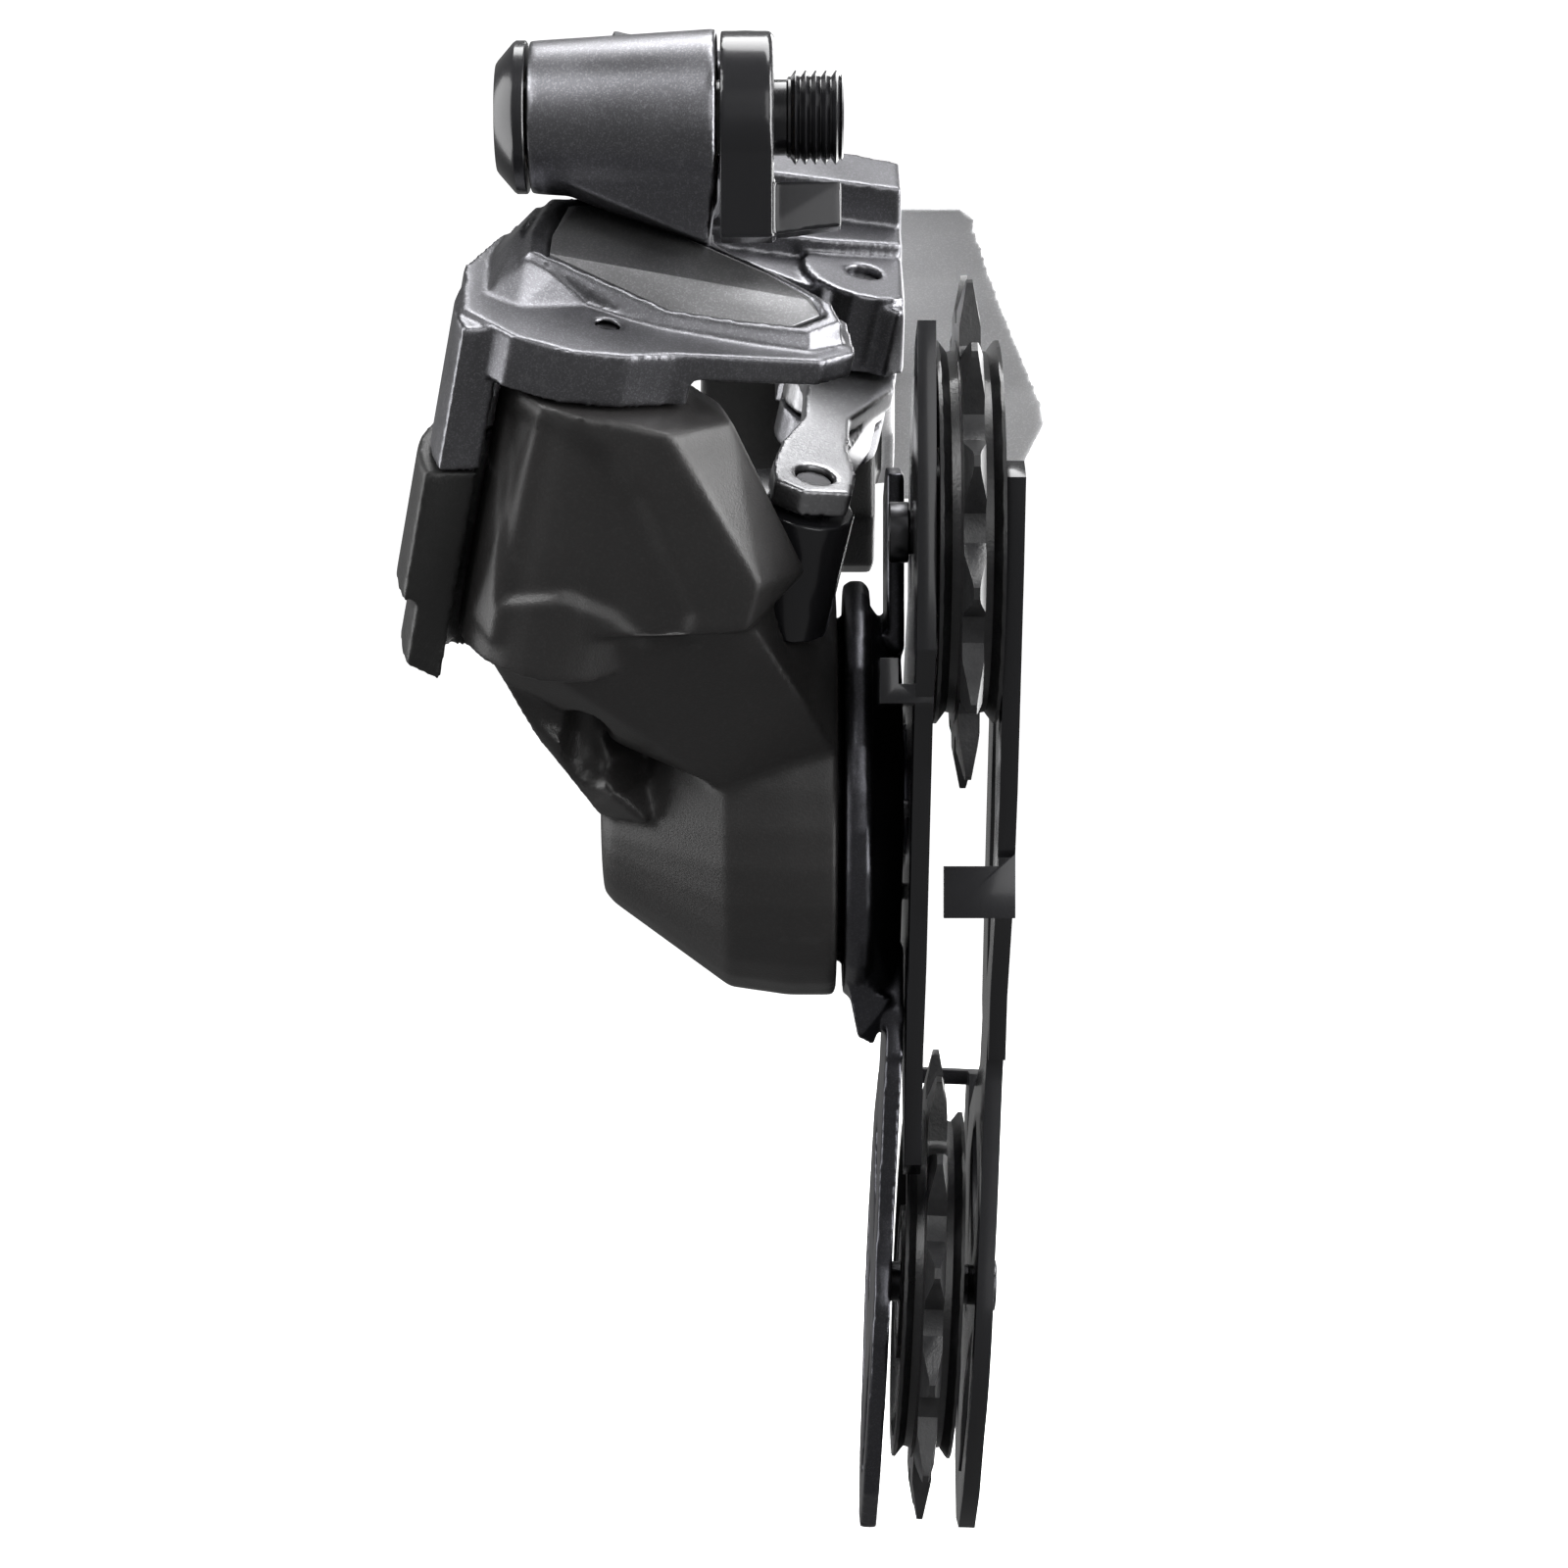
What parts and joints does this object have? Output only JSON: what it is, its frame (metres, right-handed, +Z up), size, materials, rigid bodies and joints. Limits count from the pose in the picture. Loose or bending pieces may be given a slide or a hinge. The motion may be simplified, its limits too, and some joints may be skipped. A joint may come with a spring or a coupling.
{
  "type": "rear bicycle derailleur",
  "caption": "Electronic long-cage rear bicycle derailleur with a slanted parallelogram, sprung pulley cage, chain wheels and a threaded hanger bolt.",
  "frame": {"origin": "on the mounting bolt axis, in the plane of the hanger outer face that the stop plate bears on", "axes": "+X inboard along the mounting bolt towards the wheel, +Y rearward along the bicycle, +Z up"},
  "size_m": [0.0761, 0.1207, 0.1749],
  "materials": {
    "satin_grey_alloy": "satin anodised, fine sparkle",
    "pale_satin_alloy": "satin anodised",
    "satin_black_alloy": "satin black anodised",
    "forged_grey_alloy": "fine blasted",
    "inlay_grey": "matte",
    "gloss_black_steel": "gloss black",
    "dark_steel": "black oxide",
    "bright_steel": "polished",
    "bronze": "sintered",
    "warm_black_polymer": "moulded, fibre filled",
    "black_polymer": "moulded",
    "wheel_polymer": "satin",
    "board_green": "lacquered",
    "lens": "clear"
  },
  "bodies": {
    "hanger_mount": {"mounting_bolt": "gloss_black_steel", "axle_cap": "gloss_black_steel", "hanger_stop_plate": "gloss_black_steel"},
    "bracket": {"bracket_body": "satin_grey_alloy", "axle_bush_outer": "bronze", "axle_bush_inner": "bronze", "height_adjust_screw": "dark_steel", "outer_link_rear_pin": "dark_steel", "inner_link_rear_pin": "dark_steel", "drive_unit_shell": "pale_satin_alloy", "drive_unit_lid": "black_polymer", "battery_pack": "black_polymer", "drive_motor": "bright_steel", "gear_case": "black_polymer", "control_board": "board_green", "status_lens": "lens", "door_hinge_pin": "dark_steel"},
    "battery_cover": {"battery_door": "pale_satin_alloy"},
    "button": {"mode_button": "black_polymer"},
    "outer_arm_link": {"outer_link": "satin_grey_alloy", "outer_link_inlay": "inlay_grey", "outer_link_bush": "bronze", "link_guard": "black_polymer"},
    "inner_arm_link": {"inner_link": "forged_grey_alloy", "inner_link_bush": "bronze"},
    "knuckle": {"knuckle_housing": "warm_black_polymer", "inner_pin_boss": "gloss_black_steel", "outer_link_front_pin": "dark_steel", "inner_link_front_pin": "dark_steel", "cage_spring_large": "bright_steel", "cage_spring_small": "bright_steel", "friction_drum": "dark_steel", "cage_axle_bush": "bronze"},
    "cage": {"cage_outer_arm": "satin_black_alloy", "chain_guide_plate": "gloss_black_steel", "guide_plate_rivet_1": "bright_steel", "guide_plate_rivet_2": "bright_steel", "guide_plate_rivet_3": "bright_steel", "cage_inner_plate": "gloss_black_steel", "cage_axle": "bright_steel", "guide_wheel_bolt": "dark_steel", "tension_wheel_bolt": "dark_steel", "guide_dust_cap_outer": "dark_steel", "guide_dust_cap_inner": "dark_steel", "tension_dust_cap_outer": "dark_steel", "tension_dust_cap_inner": "dark_steel"},
    "guide_pulley": {"guide_wheel": "wheel_polymer", "guide_bearing": "bright_steel"},
    "tension_pulley": {"tension_wheel": "wheel_polymer", "tension_bearing": "bright_steel"}
  },
  "joints": [
    {"name": "bracket_swing", "type": "hinge", "parent": "hanger_mount", "child": "bracket", "pos_m": [0, 0, 0], "axis": [1, 0, 0], "range_deg": [0, 10]},
    {"name": "shift", "type": "hinge", "parent": "bracket", "child": "outer_arm_link", "pos_m": [-0.0134, 0.01789, -0.00658], "axis": [0.2004, -0.5011, 0.8419], "range_deg": [0, 55]},
    {"name": "inner_link_turn", "type": "hinge", "parent": "bracket", "child": "inner_arm_link", "pos_m": [0.0082, 0.032, -0.02114], "axis": [0.2004, -0.5011, 0.8419], "range_deg": [0, 55]},
    {"name": "knuckle_turn", "type": "hinge", "parent": "outer_arm_link", "child": "knuckle", "pos_m": [-0.01723, -0.012, -0.02346], "axis": [0.2004, -0.5011, 0.8419], "range_deg": [-55, 0]},
    {"name": "cage_swing", "type": "hinge", "parent": "knuckle", "child": "cage", "pos_m": [0, 0.04, -0.0718], "axis": [-1, 0, 0], "range_deg": [0, 70], "stiffness_Nm_per_rad": 0.25, "springref_deg": -34.38},
    {"name": "guide_spin", "type": "hinge", "parent": "cage", "child": "guide_pulley", "pos_m": [0.02105, 0.015, -0.0433], "axis": [1, 0, 0], "continuous": true},
    {"name": "tension_spin", "type": "hinge", "parent": "cage", "child": "tension_pulley", "pos_m": [0.0186, 0.061, -0.1326], "axis": [0.9991, 0, -0.0419], "continuous": true},
    {"name": "battery_door_swing", "type": "hinge", "parent": "bracket", "child": "battery_cover", "pos_m": [0.0215, 0.09892, -0.01958], "axis": [-1, 0, 0], "range_deg": [0, 95]},
    {"name": "button_press", "type": "slide", "parent": "bracket", "child": "button", "axis": [0, -1, 0], "range_m": [0, 0.0008], "stiffness_N_per_m": 800}
  ],
  "couplings": [
    {"joint": "inner_link_turn", "follows": "shift", "ratio": 1},
    {"joint": "knuckle_turn", "follows": "shift", "ratio": -1}
  ]
}
